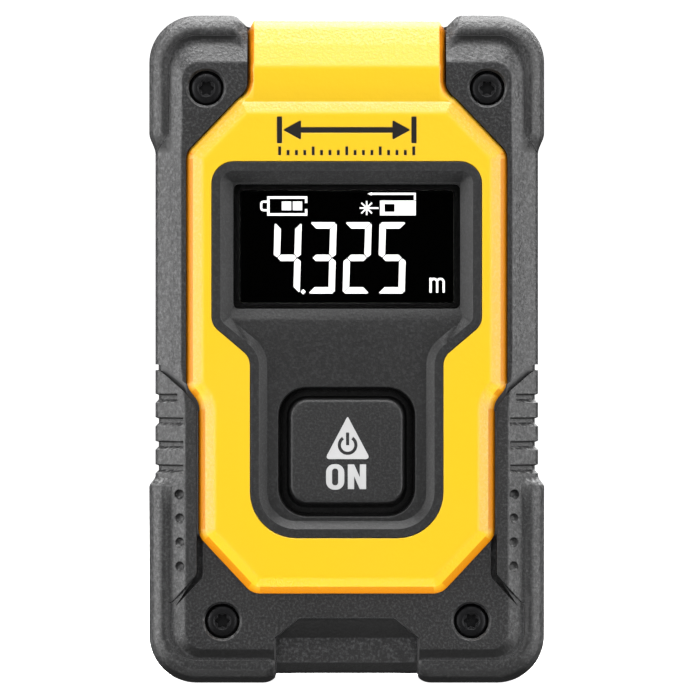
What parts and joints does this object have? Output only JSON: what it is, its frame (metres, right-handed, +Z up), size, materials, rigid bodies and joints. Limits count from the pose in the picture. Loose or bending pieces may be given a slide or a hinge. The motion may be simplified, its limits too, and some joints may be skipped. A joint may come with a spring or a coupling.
{
  "type": "laser distance meter",
  "caption": "Pocket laser distance meter: rubber-cornered case, lit display, a sprung measure button, end optics and a hinged charging port cover.",
  "frame": {"origin": "middle of the footprint on which the meter stands upright", "axes": "+Z up the meter to its laser end, -Y out of the display, +X to the display's right"},
  "size_m": [0.045, 0.026, 0.076],
  "materials": {
    "yellow_plastic": "fine texture",
    "dark_plastic": "fine texture",
    "bumper_rubber": "fine texture",
    "keycap": "satin",
    "silicone": "satin",
    "black_plastic": "gloss",
    "window": "clear",
    "lens_glass": "coated",
    "filter_glass": "coated",
    "black_steel": "black oxide",
    "steel": "plain",
    "brass": "turned",
    "magnesium": "die cast",
    "circuit_board": "solder mask",
    "white_plastic": "satin",
    "lcd": "gloss",
    "foil": "pouch foil",
    "foam": "open cell",
    "flex": "polyimide",
    "red_wire": "satin",
    "black_wire": "satin",
    "label": "blank label"
  },
  "bodies": {
    "case": {"upper_right_bumper": "bumper_rubber", "upper_left_bumper": "bumper_rubber", "right_grip": "bumper_rubber", "left_grip": "bumper_rubber", "front_housing": "dark_plastic", "rear_housing": "dark_plastic", "rear_label": "label", "yellow_front_cover": "yellow_plastic", "display_bezel": "dark_plastic", "display_window": "window", "button_membrane": "silicone", "switch_body": "black_plastic", "lcd_frame": "black_plastic", "lcd_glass": "lcd", "lcd_backlight": "white_plastic", "lcd_flex_cable": "flex", "main_circuit_board": "circuit_board", "microcontroller": "black_plastic", "rf_shield_can": "steel", "usb_socket": "steel", "battery_cell": "foil", "battery_foam_pad": "foam", "battery_connector": "white_plastic", "battery_lead_red": "red_wire", "battery_lead_black": "black_wire", "optical_frame": "magnesium", "laser_barrel": "brass", "laser_lens": "lens_glass", "laser_diode": "brass", "receiver_lens": "lens_glass", "receiver_filter": "filter_glass", "receiver_board": "circuit_board", "photodiode": "black_plastic", "optics_faceplate": "black_plastic", "optics_window": "window", "port_cover_tether": "silicone", "case_screw_upper_left": "black_steel", "case_screw_upper_right": "black_steel", "case_screw_lower_left": "black_steel", "case_screw_lower_right": "black_steel", "board_screw_upper_left": "steel", "board_screw_upper_right": "steel", "board_screw_lower_left": "steel", "board_screw_lower_right": "steel"},
    "button": {"power_button": "keycap"},
    "plunger": {"switch_plunger": "white_plastic"},
    "charging_cover": {"port_cover": "silicone"}
  },
  "joints": [
    {"name": "button_press", "type": "slide", "parent": "case", "child": "button", "axis": [0, 1, 0], "range_m": [0, 0.0005], "stiffness_N_per_m": 4000, "deforming": ["button_membrane"]},
    {"name": "switch_press", "type": "slide", "parent": "case", "child": "plunger", "axis": [0, 1, 0], "range_m": [0, 0.0005]},
    {"name": "port_cover_hinge", "type": "hinge", "parent": "case", "child": "charging_cover", "pos_m": [0, 0.00138, 0.00155], "axis": [1, 0, 0], "range_deg": [0, 110], "deforming": ["port_cover_tether"]}
  ],
  "couplings": [
    {"joint": "switch_press", "follows": "button_press", "ratio": 1}
  ]
}
